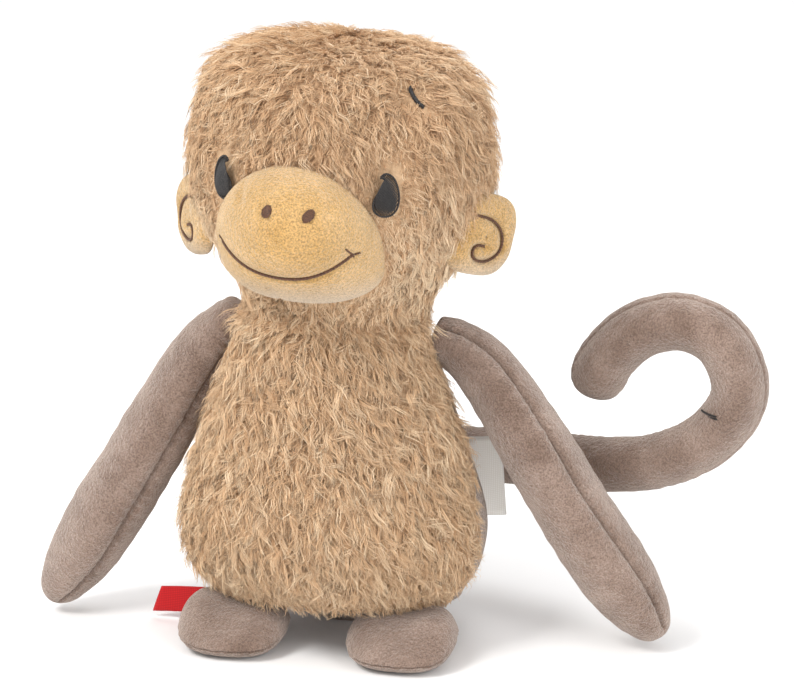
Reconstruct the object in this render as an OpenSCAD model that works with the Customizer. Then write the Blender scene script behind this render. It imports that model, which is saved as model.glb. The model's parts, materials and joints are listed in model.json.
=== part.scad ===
// Seated plush monkey, built as it is sewn: stuffed trunk and head, sewn-on limbs, ears and tail.
// +Z is up, the face looks along -Y, and the origin is the centre of the flat face it sits on.

/* [Trunk] */
// Height of the trunk from the floor to the neck
trunk_h = 133; // [128:1:133]
// Width of the trunk at the belly
trunk_w = 122; // [116:1:124]
// Depth of the trunk in front of its side seams
trunk_front = 50; // [46:1:52]
// Depth of the trunk behind its side seams
trunk_back = 52; // [48:1:52]
// Diameter of the flat face that the toy sits on
seat_d = 34; // [30:1:40]
// How far the flat face lies behind the trunk's axis
seat_back = 25; // [23:1:27]
// Height of the hem above the floor at the side seams
hem_z = 18; // [17:1:19]

/* [Head] */
// Height of the head from the neck seam to the crown
head_h = 108; // [102:1:111]
// Width of the head at the cheeks
head_w = 117; // [110:1:120]
// Depth of the head in front of its side seams
head_front = 52; // [48:1:54]
// Depth of the head behind its side seams
head_back = 49; // [45:1:52]
// Turn of the head to one side as it sits
head_yaw = -3.5; // [-6:0.5:6]
// Lean of the head to one side as it sits
head_lean = 2; // [-3:1:3]

/* [Muzzle] */
// Width of the muzzle
muzzle_w = 66; // [60:1:70]
// Height of the muzzle
muzzle_h = 53; // [48:1:56]
// How far the muzzle stands out of the face
muzzle_depth = 26; // [20:1:32]
// Height of the muzzle's centre above the floor
muzzle_z = 172.5; // [171:0.5:176]

/* [Limbs] */
// Radius of an arm at the hand
arm_r = 14; // [12:0.5:14.5]
// Width of a foot
foot_w = 43; // [38:1:44]
// Length of a foot
foot_l = 40; // [36:1:42]
// Height of a foot at its middle
foot_h = 17; // [13:1:18]
// Radius of the tail
tail_r = 11; // [9:0.5:11.5]
// Width and height of an ear
ear_size = 32; // [28:1:34]
// Thickness of an ear at its middle
ear_t = 7; // [5:0.5:8]

/* [Cloth] */
// Thickness of the long-pile cloth with its lying pile
pile_t = 4; // [3:0.5:5]
// Thickness of the short-pile velour
velour_t = 1.8; // [1.2:0.2:2]
// Radius of an embroidered line
thread_r = 0.7; // [0.5:0.1:0.9]

/* [Hidden] */
SIDES = ["left", "right"];

beige = [0.79, 0.67, 0.52];
taupe = [0.60, 0.53, 0.49];
ochre = [0.88, 0.74, 0.50];
wool = [0.93, 0.92, 0.88];
brown_thread = [0.27, 0.17, 0.12];
dark_thread = [0.16, 0.15, 0.15];

around = 20;             // columns round the trunk and the head
sweep_around = 12;       // columns round an arm or the tail
stitch_gap = 0.35;       // lift of embroidery and trim off the cloth under it
neck_z = 112;            // centre of the neck's ball
socket_r = 41.6;         // radius of the hollow under the head
dome_r = socket_r - 1.3; // radius of the neck's dome, with room to turn and nod

// Rows of the trunk from the hem to the neck: height, half width, depth in front, depth behind,
// each as a share of the trunk's own sizes
trunk_shape = [
    [0.00, 0.84, 0.78, 0.86],
    [0.11, 0.96, 0.93, 0.96],
    [0.26, 1.00, 1.00, 1.00],
    [0.49, 0.89, 0.93, 0.94],
    [0.70, 0.76, 0.82, 0.82],
    [0.88, 0.64, 0.70, 0.70],
    [0.965, 0.59, 0.64, 0.63],
    [0.99, 0.52, 0.56, 0.55],
    [1.00, 0.06, 0.07, 0.07]
];
trunk_rows = [
    for (s = trunk_shape)
        [hem_z + s[0] * (trunk_h - hem_z), s[1] * trunk_w / 2, s[2] * trunk_front, s[3] * trunk_back]
];

// Rows of the head above its rim, in the same form
head_shape = [
    [0.12, 0.68, 0.72, 0.75],
    [0.22, 0.79, 0.85, 0.87],
    [0.38, 0.93, 0.97, 0.97],
    [0.57, 1.00, 1.00, 1.00],
    [0.75, 0.95, 0.93, 0.95],
    [0.88, 0.86, 0.80, 0.82],
    [0.955, 0.68, 0.60, 0.64],
    [0.99, 0.40, 0.36, 0.38],
    [1.00, 0.05, 0.06, 0.06]
];
rim = [37, 34, 34];
head_z = 131;
head_rows = [
    for (s = head_shape)
        [head_z + s[0] * head_h, s[1] * head_w / 2, s[2] * head_front, s[3] * head_back]
];

// ---- points ----

// A point of an oval whose front and back differ
function oval(w, front, back, a) = [w * cos(a), (sin(a) < 0 ? front : back) * sin(a)];
// The hem rises towards the front, and the rise fades out up the belly
function hem_lift(z, a) = -4 * sin(a) * max(0, 1 - (z - hem_z) / 30);
// One row of the trunk, t inside its outer face
function trunk_row(r, t, angles) =
    let (z = hem_z + (r[0] - hem_z) * (trunk_h - hem_z - t) / (trunk_h - hem_z))
    [
        for (a = angles)
            let (p = oval(max(r[1] - t, 1), max(r[2] - t, 1), max(r[3] - t, 1), a))
            [p[0], p[1], z + hem_lift(r[0], a)]
    ];
// A ring in the base: k is 0 at the flat face and 1 at the hem
function base_row(k, t, angles) = [
    for (a = angles)
        let (seat = (seat_d / 2 - t / 2) * [cos(a), sin(a)] + [0, seat_back])
        let (h = trunk_rows[0])
        let (hem = oval(h[1] - t, h[2] - t, h[3] - t, a))
        let (flat = seat * (1 - k) + hem * k)
        let (top = hem_z + hem_lift(hem_z, a))
        [flat[0], flat[1], k == 0 ? t : t * (1 - k) + (top - t * (1 - k)) * pow(k, 0.45)]
];

// Height of the neck's ball surface at a distance from its axis
function ball_z(r) = neck_z + sqrt(socket_r * socket_r - r * r);
// The head's rim, or a ring of the hollow under it: k is 1 at the rim
function rim_row(k, t, angles) = [
    for (a = angles)
        let (p = oval(k * (rim[0] - t), k * (rim[1] - t), k * (rim[2] - t), a))
        [p[0], p[1], ball_z(norm(p))]
];
function head_row(r, t, angles) =
    let (top = head_z + head_h)
    [
        for (a = angles)
            let (p = oval(max(r[1] - t, 1), max(r[2] - t, 1), max(r[3] - t, 1), a))
            [p[0], p[1], min(r[0], top - t - (top - r[0]) * 0.9)]
    ];
// How far forward the face is at x and z
function head_y(x, z) =
    let (w = lookup(z, [for (r = head_rows) [r[0], r[1]]]))
    let (d = lookup(z, [for (r = head_rows) [r[0], r[2]]]))
    -d * sqrt(max(0, 1 - pow(x / w, 2)));
// How far forward the muzzle is at x and z, t inside its outer face
function muzzle_y(x, z, t = 0) =
    let (q = pow(x / (muzzle_w / 2 - t), 2) + pow((z - muzzle_z) / (muzzle_h / 2 - t), 2))
    head_y(x, z) - stitch_gap - 0.3 - (muzzle_depth - t) * sqrt(max(0, 1 - q));
function muzzle_row(k, t, angles, raised) = [
    for (a = angles)
        let (x = k * (muzzle_w / 2 - t) * cos(a), z = muzzle_z + k * (muzzle_h / 2 - t) * sin(a))
        [x, raised ? muzzle_y(x, z, t) : head_y(x, z) - stitch_gap - 0.3, z]
];

// A point at share s of a route through the points p
function along(p, s) =
    let (n = len(p) - 1, f = min(s * n, n - 0.0001), i = floor(f), t = f - i)
    let (a = p[max(i - 1, 0)], b = p[i], c = p[i + 1], d = p[min(i + 2, n)])
    0.5 * (2 * b + (c - a) * t + (2 * a - 5 * b + 4 * c - d) * t * t + (3 * b - a - 3 * c + d) * t * t * t);
function unit(v) = v / norm(v);
// A ring of radius r round a route, its first point towards +Y
function route_ring(p, s, r, angles) =
    let (t = unit(along(p, min(s + 0.01, 1)) - along(p, max(s - 0.01, 0))))
    let (u = unit([0, 1, 0] - t[1] * t), v = cross(t, u), o = along(p, s))
    [for (a = angles) o + r * (cos(a) * u + sin(a) * v)];
// The cloth or the filling of a stuffed tube: t inside the outer face, the ends t shorter
function tube_rows(p, stations, reach, t, angles) = [
    for (s = stations)
        route_ring(p, t / reach + s[0] * (1 - 2 * t / reach), max(s[1] - t, 0.6), angles)
];

// ---- solids ----

// Two triangles for each cell of a grid of rows and cols that starts at point base
function grid_faces(rows, cols, closed, base, flip) = [
    for (i = [0 : rows - 2], j = [0 : cols - (closed ? 1 : 2)])
        let (a = base + i * cols + j, b = base + i * cols + (j + 1) % cols)
        let (c = b + cols, d = a + cols)
        each flip ? [[a, c, d], [a, b, c]] : [[a, d, c], [a, c, b]]
];
// Cells between two edges of equal length, each edge a list of point numbers
function edge_faces(e, f, closed, flip) = [
    for (i = [0 : len(e) - (closed ? 1 : 2)])
        let (k = (i + 1) % len(e))
        each flip ? [[e[i], f[k], e[k]], [e[i], f[i], f[k]]] : [[e[i], e[k], f[k]], [e[i], f[k], f[i]]]
];
function flat_list(rows) = [for (r = rows) each r];
function middle(ring) = [for (k = [0 : 2]) [for (p = ring) p[k]] * [for (p = ring) 1] / len(ring)];

// A closed solid through a stack of rings
module stuffed(rings) {
    n = len(rings);
    m = len(rings[0]);
    polyhedron(
        concat(flat_list(rings), [middle(rings[0]), middle(rings[n - 1])]),
        concat(
            grid_faces(n, m, true, 0, false),
            [for (j = [0 : m - 1]) [j, (j + 1) % m, n * m]],
            [for (j = [0 : m - 1]) [(n - 1) * m + (j + 1) % m, (n - 1) * m + j, n * m + 1]]
        ),
        convexity = 6
    );
}

// A sewn panel between an outer and an inner grid of points of the same size
module panel(outer, inner, closed) {
    n = len(outer);
    m = len(outer[0]);
    low = [for (j = [0 : m - 1]) j];
    high = [for (j = [0 : m - 1]) (n - 1) * m + j];
    first = [for (i = [0 : n - 1]) i * m];
    last = [for (i = [0 : n - 1]) i * m + m - 1];
    inside = n * m;
    function within(e) = [for (k = e) k + inside];
    polyhedron(
        concat(flat_list(outer), flat_list(inner)),
        concat(
            grid_faces(n, m, closed, 0, false),
            grid_faces(n, m, closed, inside, true),
            edge_faces(low, within(low), closed, false),
            edge_faces(high, within(high), closed, true),
            closed ? [] : edge_faces(first, within(first), false, true),
            closed ? [] : edge_faces(last, within(last), false, false)
        ),
        convexity = 6
    );
}

// Moves what is drawn round the trunk's axis into the part's frame
module placed() {
    translate([0, -seat_back, 0]) children();
}
// The same for the head, which sits a little turned and leaning on its neck
module on_neck() {
    placed() translate([0, 0, neck_z]) rotate([0, head_lean, head_yaw]) translate([0, 0, -neck_z]) children();
}

full = [for (j = [0 : around - 1]) j * 360 / around];
front_half = [for (j = [0 : around / 2]) 180 + j * 360 / around];
back_half = [for (j = [0 : around / 2]) j * 360 / around];

// ---- trunk ----

module trunk_panel(angles) {
    placed() panel([for (r = trunk_rows) trunk_row(r, 0, angles)], [for (r = trunk_rows) trunk_row(r, pile_t, angles)], false);
}
module body_front_panel() {
    color(beige) trunk_panel(front_half);
}
module body_back_panel() {
    color(taupe) trunk_panel(back_half);
}

base_steps = [0, 0.35, 0.7, 1];
module base_panel() {
    n = len(base_steps);
    outer = [for (k = base_steps) base_row(k, 0, full)];
    inner = [for (k = base_steps) base_row(k, pile_t, full)];
    high = [for (j = [0 : around - 1]) (n - 1) * around + j];
    color(taupe) placed() polyhedron(
        concat(flat_list(outer), flat_list(inner)),
        concat(
            grid_faces(n, around, true, 0, false),
            grid_faces(n, around, true, n * around, true),
            edge_faces(high, [for (k = high) k + n * around], true, true),
            [[for (j = [0 : around - 1]) j]],
            [[for (j = [0 : around - 1]) n * around + around - 1 - j]]
        ),
        convexity = 6
    );
}
module bead_pouch() {
    color("lightgrey") placed() stuffed([for (k = base_steps) base_row(k, pile_t, full)]);
}
module body_filling() {
    color("white") placed() stuffed([for (r = trunk_rows) trunk_row(r, pile_t, full)]);
}

label = [12.5, 32, 0.8];
module side_label() {
    color(wool) placed() translate([trunk_w / 2 - 1.5, 12, 52]) rotate([90, 0, 50])
        linear_extrude(label[2]) polygon([[0, 0], [label[0], 0], [label[0], label[1] - 6], [label[0] - 5, label[1]], [0, label[1]]]);
}
tag = [22, 11, 0.9];
module seat_tag() {
    color("red") placed() translate([-trunk_w / 2 * 0.84 - 1, -5, 3.5]) rotate([90, 0, 184])
        linear_extrude(tag[2]) square([tag[0], tag[1]]);
}

// ---- neck and head ----

neck_foot = trunk_h + 0.6;
module neck_filling() {
    low = asin((neck_foot - neck_z) / dome_r);
    color("white") placed() rotate_extrude($fn = 48) polygon(concat(
        [[0, neck_foot]],
        [for (k = [0 : 6]) let (a = low + k * (90 - low) / 6) [dome_r * cos(a), neck_z + dome_r * sin(a)]]
    ));
}

module head_panel(angles) {
    on_neck() panel(
        concat([rim_row(1, 0, angles)], [for (r = head_rows) head_row(r, 0, angles)]),
        concat([rim_row(1, pile_t, angles)], [for (r = head_rows) head_row(r, pile_t, angles)]),
        false
    );
}
module head_front_panel() {
    color(beige) head_panel(front_half);
}
module head_back_panel() {
    color(beige) head_panel(back_half);
}
module head_filling() {
    color("white") on_neck() stuffed(concat(
        [for (k = [0.25, 0.6, 1]) rim_row(k, pile_t, full)],
        [for (r = head_rows) head_row(r, pile_t, full)]
    ));
}

muzzle_steps = [1, 0.97, 0.86, 0.66, 0.36, 0.04];
muzzle_round = [for (j = [0 : 17]) j * 20];
module muzzle_cover() {
    color(ochre) on_neck() panel(
        [for (k = muzzle_steps) muzzle_row(k, 0, muzzle_round, true)],
        [for (k = muzzle_steps) muzzle_row(k, velour_t, muzzle_round, true)],
        true
    );
}
module muzzle_filling() {
    color("white") on_neck() stuffed(concat(
        [for (k = [0.2, 0.5, 0.8]) muzzle_row(k, velour_t, muzzle_round, false)],
        [for (k = muzzle_steps) muzzle_row(k, velour_t, muzzle_round, true)]
    ));
}

// A flat patch of embroidery: outline points [x, z] round a centre, lying on a face at depth y(x, z)
module patch(centre, outline, on_muzzle, thick) {
    function lie(k, lift) = [
        for (p = outline)
            let (x = centre[0] + k * p[0], z = centre[1] + k * p[1])
            [x, (on_muzzle ? muzzle_y(x, z) : head_y(x, z)) - lift, z]
    ];
    stuffed([lie(0.15, stitch_gap), lie(1, stitch_gap), lie(1, stitch_gap + thick), lie(0.15, stitch_gap + thick)]);
}

eye_x = 32.5;
eye_z = 190;
eye_w = 8.5;
eye_h = 15.5;
// A drop: round below, drawn out to a point at the top towards the nose
function eye_outline(side) = [
    for (j = [0 : 11])
        let (a = j * 30, point = max(0, sin(a)))
        [eye_w / 2 * cos(a) - side * 2 * point, eye_h / 2 * sin(a) * (1 + 0.15 * point)]
];
module eye(side) {
    color(dark_thread) on_neck() patch([side * eye_x, eye_z], eye_outline(side), false, 1);
}
module eye_left() eye(-1);
module eye_right() eye(1);

nostril_x = 8;
nostril_z = 186.5;
nostril_shift = 3.6;
module nostril(side) {
    color(brown_thread) on_neck()
        patch([nostril_shift + side * nostril_x, nostril_z], [for (j = [0 : 9]) [2.3 * cos(j * 36), 2.7 * sin(j * 36)]], true, 0.9);
}
module nostril_left() nostril(-1);
module nostril_right() nostril(1);

// A stitched line: a thin round bead through points
module stitched(points) {
    n = len(points);
    stuffed([
        for (i = [0 : n - 1])
            let (t = unit(points[min(i + 1, n - 1)] - points[max(i - 1, 0)]))
            let (u = unit(cross(t, abs(t[1]) > 0.9 ? [0, 0, 1] : [0, 1, 0])), v = cross(t, u))
            [for (a = [0 : 60 : 300]) points[i] + thread_r * (cos(a) * u + sin(a) * v)]
    ]);
}

thread_lift = thread_r + stitch_gap;
// The mouth is a wide smile, lowest a little to one side
module mouth_stitching() {
    color(brown_thread) on_neck() stitched([
        for (u = [-1 : 0.125 : 1])
            let (x = 26 * u, z = 161.3 + 8.5 * pow(abs(u - 0.06 * (1 - u * u)), 2.2))
            [x, muzzle_y(x, z) - thread_lift * (1 + 0.9 * abs(u)), z]
    ]);
}
module brow_dart_stitch() {
    color(dark_thread) on_neck() stitched([
        for (u = [0 : 0.5 : 1])
            let (x = 37.5 + 5 * u, z = 226.5 - 6 * u)
            [x, head_y(x, z) - thread_lift * 1.6, z]
    ]);
}

// ---- ears ----

ear_roots = [[51.4, -14, 165.5], [54, -14, 172.5]];
ear_turn = 47;
ear_lean = 14;
// Moves an ear drawn flat, x outwards from its seam and y its front, to its side of the head
module at_ear(side) {
    on_neck() mirror([side < 0 ? 1 : 0, 0, 0])
        translate(ear_roots[side < 0 ? 0 : 1]) rotate([0, 0, ear_turn]) rotate([0, ear_lean, 0])
            translate([ear_size / 2 + 0.3, 0, 0]) children();
}
ear_round = [for (j = [0 : 15]) j * 22.5];
function squircle(a) = 1 / pow(pow(abs(cos(a)), 3.2) + pow(abs(sin(a)), 3.2), 1 / 3.2);
// A ring of the ear: k is its share of the outline, y its bulge to the front or the back
function ear_row(k, t, bulge) = [
    for (a = ear_round)
        let (r = k * (ear_size / 2 - t) * squircle(a))
        [r * cos(a), bulge * (ear_t / 2 - t) * sqrt(max(0, 1 - k * k)), r * sin(a)]
];
ear_steps = [1, 0.93, 0.7, 0.4, 0.06];
ear_cloth = 1.4;
function reversed(l) = [for (i = [len(l) - 1 : -1 : 0]) l[i]];
module ear_front(side) {
    color(ochre) at_ear(side)
        panel([for (k = ear_steps) ear_row(k, 0, -1)], [for (k = ear_steps) ear_row(k, ear_cloth, -1)], true);
}
module ear_back(side) {
    back_steps = reversed(ear_steps);
    color(taupe) at_ear(side)
        panel([for (k = back_steps) ear_row(k, 0, 1)], [for (k = back_steps) ear_row(k, ear_cloth, 1)], true);
}
module ear_padding(side) {
    color("white") at_ear(side) stuffed(concat(
        [for (k = reversed(ear_steps)) ear_row(k, ear_cloth, 1)],
        [for (k = [0.93, 0.7, 0.4, 0.06]) ear_row(k, ear_cloth, -1)]
    ));
}
// The ear's whorl: a spiral that opens outwards from the middle
module ear_stitching(side) {
    color(brown_thread) at_ear(side) stitched([
        for (u = [0 : 0.06 : 1])
            let (a = 200 - 380 * u, r = 2.5 + 7.5 * u)
            [r * cos(a), -ear_t / 2 - thread_r - 0.1, r * sin(a) + 1]
    ]);
}

// ---- arms ----

// Route of each arm's middle from the shoulder to the hand
arm_routes = [
    [[-48, 4, 124], [-58, 3, 108], [-68, 0, 88], [-78, -3, 66], [-89, -6, 46], [-101, -8, 25], [-112, -10, 5.5]],
    [[48, 5, 125], [60, 3, 110], [74, 1, 90], [89.5, 1.5, 65], [104.5, 3, 41], [116, 5, 22], [126, 5, 6]]
];
// Share of the route, then share of the hand's radius
arm_stations = [
    [0, 0.1], [0.012, 0.42], [0.04, 0.58], [0.14, 0.70], [0.32, 0.80],
    [0.52, 0.91], [0.75, 1.0], [0.9, 0.93], [0.97, 0.66], [1, 0.12]
];
arm_reach = 140;
function arm_rows(side, t, angles) =
    tube_rows(arm_routes[side < 0 ? 0 : 1], [for (s = arm_stations) [s[0], s[1] * arm_r]], arm_reach, t, angles);
function half_turn(start) = [for (j = [0 : sweep_around / 2]) start + j * 360 / sweep_around];
full_turn = [for (j = [0 : sweep_around - 1]) j * 360 / sweep_around];
module arm_cloth(side, start) {
    color(taupe) placed() panel(arm_rows(side, 0, half_turn(start)), arm_rows(side, velour_t, half_turn(start)), false);
}
module arm_outer(side) arm_cloth(side, side > 0 ? 0 : 180);
module arm_inner(side) arm_cloth(side, side > 0 ? 180 : 0);
module arm_filling(side) {
    color("white") placed() stuffed(arm_rows(side, velour_t, full_turn));
}

// ---- feet ----

foot_x = 34;
foot_y = -29;
foot_round = [for (j = [0 : 15]) j * 22.5];
// A ring of a foot: p runs from -90 under the middle to 90 on top, and the heel end is lower
function foot_row(p, t) = [
    for (a = foot_round)
        let (q = pow(max(cos(p), 0.0004), 0.5))
        let (x = (foot_w / 2 - t) * q * cos(a), y = (foot_l / 2 - t) * q * sin(a))
        let (h = foot_h / 2 * (1 - 0.04 * y / (foot_l / 2)) - t)
        [foot_x + x, foot_y + y, t + h * (1 + sign(p) * pow(abs(sin(p)), 1.3))]
];
foot_seam = -12;
sole_steps = [-90, -72, -45, foot_seam];
top_steps = [foot_seam, 12, 38, 62, 80, 90];
// Draws a foot on its side of the toy
module at_foot(side) {
    placed() mirror([side < 0 ? 1 : 0, 0, 0]) children();
}
module foot_top(side) {
    color(taupe) at_foot(side)
        panel([for (p = top_steps) foot_row(p, 0)], [for (p = top_steps) foot_row(p, velour_t)], true);
}
module foot_sole(side) {
    color(taupe) at_foot(side)
        panel([for (p = sole_steps) foot_row(p, 0)], [for (p = sole_steps) foot_row(p, velour_t)], true);
}
module foot_filling(side) {
    color("white") at_foot(side)
        stuffed([for (p = concat(sole_steps, [12, 38, 62, 80, 90])) foot_row(p, velour_t)]);
}

// ---- tail ----

tail_route = [
    [-2, 64.5, 55], [24, 64, 56], [51, 58, 58], [77, 49, 60.5], [101, 42, 63], [122, 40, 67],
    [142, 40, 78], [153, 40, 97], [146, 40, 117], [129.5, 40, 124.5], [112.5, 40, 119.5], [100, 40, 107], [95, 40, 94]
];
tail_cap = [[0, 0.15], [0.008, 0.6], [0.03, 0.92]];
tail_stations = concat(
    tail_cap,
    [for (k = [0.09 : 0.0585 : 0.91]) [k, 1]],
    [[0.955, 0.96], [0.985, 0.7], [1, 0.15]]
);
tail_reach = 285;
function tail_rows(t, angles) =
    tube_rows(tail_route, [for (s = tail_stations) [s[0], s[1] * tail_r]], tail_reach, t, angles);
module tail_cloth(start) {
    color(taupe) placed() panel(tail_rows(0, half_turn(start)), tail_rows(velour_t, half_turn(start)), false);
}
module tail_front_panel() tail_cloth(90);
module tail_back_panel() tail_cloth(-90);
module tail_filling() {
    color("white") placed() stuffed(tail_rows(velour_t, full_turn));
}
// Dark hand stitches that tack the bend of the tail
module tail_tack_stitch() {
    color(dark_thread) placed() stitched([
        for (u = [0 : 0.25 : 1])
            [141.5 + 7 * u, 38.8 - tail_r * sqrt(1 - pow(0.8 - 0.5 * u, 2)) - thread_lift, 90 - 2 * u]
    ]);
}

body_front_panel();
body_back_panel();
base_panel();
body_filling();
bead_pouch();
side_label();
seat_tag();
neck_filling();
head_front_panel();
head_back_panel();
head_filling();
muzzle_cover();
muzzle_filling();
mouth_stitching();
nostril_left();
nostril_right();
eye_left();
eye_right();
brow_dart_stitch();
for (k = [0 : 1]) {
    side = 2 * k - 1;
    ear_front(side);
    ear_back(side);
    ear_padding(side);
    ear_stitching(side);
    arm_outer(side);
    arm_inner(side);
    arm_filling(side);
    foot_top(side);
    foot_sole(side);
    foot_filling(side);
}
tail_front_panel();
tail_back_panel();
tail_filling();
tail_tack_stitch();
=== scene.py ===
# %% [markdown]
# # A seated plush monkey
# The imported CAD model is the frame: it fixes every size, every joint and every seam line.
# This lesson puts the looks on it: skins that are sewn and stuffed, a long combed pile made of
# real strands, velour with a nap, embroidery made of threads, and two ribbon labels.
# All shapes are written in millimetres round the trunk's axis, and moved into the frame at the end.

import json
import math

import bpy
import numpy as np
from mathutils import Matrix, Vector
from mathutils.kdtree import KDTree

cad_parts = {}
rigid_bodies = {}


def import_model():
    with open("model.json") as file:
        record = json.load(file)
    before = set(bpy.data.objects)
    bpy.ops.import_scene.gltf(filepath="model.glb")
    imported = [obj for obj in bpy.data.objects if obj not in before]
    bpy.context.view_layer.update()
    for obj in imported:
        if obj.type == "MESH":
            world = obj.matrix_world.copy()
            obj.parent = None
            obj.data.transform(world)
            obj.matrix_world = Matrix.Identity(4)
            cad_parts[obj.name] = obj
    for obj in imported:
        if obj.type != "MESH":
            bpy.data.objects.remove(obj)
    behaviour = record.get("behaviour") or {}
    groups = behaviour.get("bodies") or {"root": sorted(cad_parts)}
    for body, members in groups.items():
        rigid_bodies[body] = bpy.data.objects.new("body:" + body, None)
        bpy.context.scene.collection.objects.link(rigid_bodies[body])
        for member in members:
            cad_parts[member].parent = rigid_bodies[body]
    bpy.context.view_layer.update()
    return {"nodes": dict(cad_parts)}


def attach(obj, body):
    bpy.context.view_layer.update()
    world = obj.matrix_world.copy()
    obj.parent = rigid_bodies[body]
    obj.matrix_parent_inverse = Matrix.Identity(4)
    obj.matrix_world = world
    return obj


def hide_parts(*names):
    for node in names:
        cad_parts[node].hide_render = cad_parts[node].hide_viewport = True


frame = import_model()

# %% [markdown]
# ## Two places to draw in
# The trunk's axis stands 25 mm behind the middle of the seat face. The head sits a little turned
# and leaning on its neck, so what is drawn on the head gets one more turn.

# %% Places
SEAT_BACK = 25.0
NECK_Z = 112.0
YAW, LEAN = math.radians(-3.5), math.radians(2)


def on_trunk(p):
    """Points in mm round the trunk's axis become metres in the frame."""
    return (np.asarray(p, float) + [0, -SEAT_BACK, 0]) / 1000


def tilted(p, angle):
    """Points leaned to the right, round the line that runs from front to back."""
    c, s = math.cos(angle), math.sin(angle)
    return np.stack([p[..., 0] * c + p[..., 2] * s, p[..., 1], -p[..., 0] * s + p[..., 2] * c], -1)


def turned(p, angle):
    """Points turned to the left, round the upright line."""
    c, s = math.cos(angle), math.sin(angle)
    return np.stack([p[..., 0] * c - p[..., 1] * s, p[..., 0] * s + p[..., 1] * c, p[..., 2]], -1)


def on_head(p):
    """The same as on_trunk, for points drawn on the head."""
    neck = [0, 0, NECK_Z]
    return on_trunk(turned(tilted(np.asarray(p, float) - neck, LEAN), YAW) + neck)


# %% [markdown]
# ## Small tools
# A skin is a grid of points, one ring after another. Splines run through the few sizes that
# matter, and waves with seeded phases give a hand-sewn unevenness that is the same on each run.

# %% Number tools
def unit(v):
    return v / np.maximum(np.linalg.norm(v, axis=-1, keepdims=True), 1e-9)


def circle(n):
    """The angles of n points round a circle."""
    return np.arange(n) * 2 * math.pi / n


def spline(points, s):
    """Smooth curve through rows of numbers, at shares s from 0 to 1."""
    p = np.asarray(points, float)
    n = len(p) - 1
    f = np.clip(np.asarray(s, float) * n, 0, n - 1e-6)
    i = f.astype(int)
    t = (f - i)[..., None]
    a, b, c, d = p[np.maximum(i - 1, 0)], p[i], p[i + 1], p[np.minimum(i + 2, n)]
    return 0.5 * (2 * b + (c - a) * t + (2 * a - 5 * b + 4 * c - d) * t**2 + (3 * b - a - 3 * c + d) * t**3)


def table_at(table, x):
    """Smooth columns of a table at values x of its first column."""
    t = np.asarray(table, float)
    s = np.interp(x, t[:, 0], np.arange(len(t))) / (len(t) - 1)
    return spline(t[:, 1:], s)


def smooth(x, low, high):
    t = np.clip((x - low) / (high - low), 0, 1)
    return t * t * (3 - 2 * t)


def waves(p, size, seed, count=5):
    """A soft random value from -1 to 1 at each point, with features about size mm across."""
    rng = np.random.default_rng(seed)
    out = 0
    for _ in range(count):
        k = unit(rng.normal(size=3)) * 2 * math.pi / size * rng.uniform(0.6, 1.4)
        out = out + np.sin(p @ k + rng.uniform(0, 6.28))
    return out / count * 1.3


def grid_normals(p, closed=True):
    """Outward normals of a grid of rings."""
    if closed:
        around = np.roll(p, -1, 1) - np.roll(p, 1, 1)
    else:
        around = np.gradient(p, axis=1)
    return unit(np.cross(around, np.gradient(p, axis=0)))


def finer(p, k=4):
    """The same grid of closed rings with k times as many rings and columns."""
    n, m = p.shape[:2]
    rows = spline(p.reshape(n, -1), np.linspace(0, 1, (n - 1) * k + 1)).reshape(-1, m, 3)
    t = np.swapaxes(rows, 0, 1)
    t = np.concatenate([t[-2:], t, t[:3]])
    q = spline(t.reshape(m + 5, -1), (np.arange(m * k) / k + 2) / (m + 4))
    return np.swapaxes(q.reshape(len(q), -1, 3), 0, 1)


# %% Mesh tools
def mesh(name, verts, faces, place, uv=None):
    """A smooth-shaded object from points and arrays of faces, each array with one number of corners."""
    verts = place(verts).reshape(-1, 3)
    me = bpy.data.meshes.new(name)
    flat, starts, total = [], [], 0
    for f in faces:
        f = np.asarray(f, int)
        flat.append(f.ravel())
        starts.append(total + np.arange(len(f)) * f.shape[1])
        total += f.size
    flat, starts = np.concatenate(flat), np.concatenate(starts)
    me.vertices.add(len(verts))
    me.vertices.foreach_set("co", verts.astype(np.float32).ravel())
    me.loops.add(len(flat))
    me.loops.foreach_set("vertex_index", flat.astype(np.int32))
    me.polygons.add(len(starts))
    me.polygons.foreach_set("loop_start", starts.astype(np.int32))
    if uv is not None:
        layer = me.uv_layers.new(name="OFBake")
        layer.data.foreach_set("uv", np.asarray(uv, np.float32)[flat].ravel())
    me.update(calc_edges=True)
    me.validate()
    me.polygons.foreach_set("use_smooth", np.ones(len(me.polygons), bool))
    obj = bpy.data.objects.new(name, me)
    bpy.context.scene.collection.objects.link(obj)
    return obj


def grid_cells(n, m, closed=True):
    i, j = np.meshgrid(np.arange(n - 1), np.arange(m if closed else m - 1), indexing="ij")
    a, b = i * m + j, i * m + (j + 1) % m
    return np.stack([a, b, b + m, a + m], -1).reshape(-1, 4)


def end_fans(n, m):
    """The triangles that close both ends of n rings of m points, round two points that follow them."""
    j = np.arange(m)
    k = (j + 1) % m
    first = np.stack([k, j, np.full(m, n * m)], -1)
    last = np.stack([(n - 1) * m + j, (n - 1) * m + k, np.full(m, n * m + 1)], -1)
    return first, last


def skin(name, p, place):
    """A skin from a grid of rings, its two ends closed by a fan."""
    n, m = p.shape[:2]
    verts = np.concatenate([p.reshape(-1, 3), [p[0].mean(0), p[-1].mean(0)]])
    return mesh(name, verts, [grid_cells(n, m), *end_fans(n, m)], place)


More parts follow.
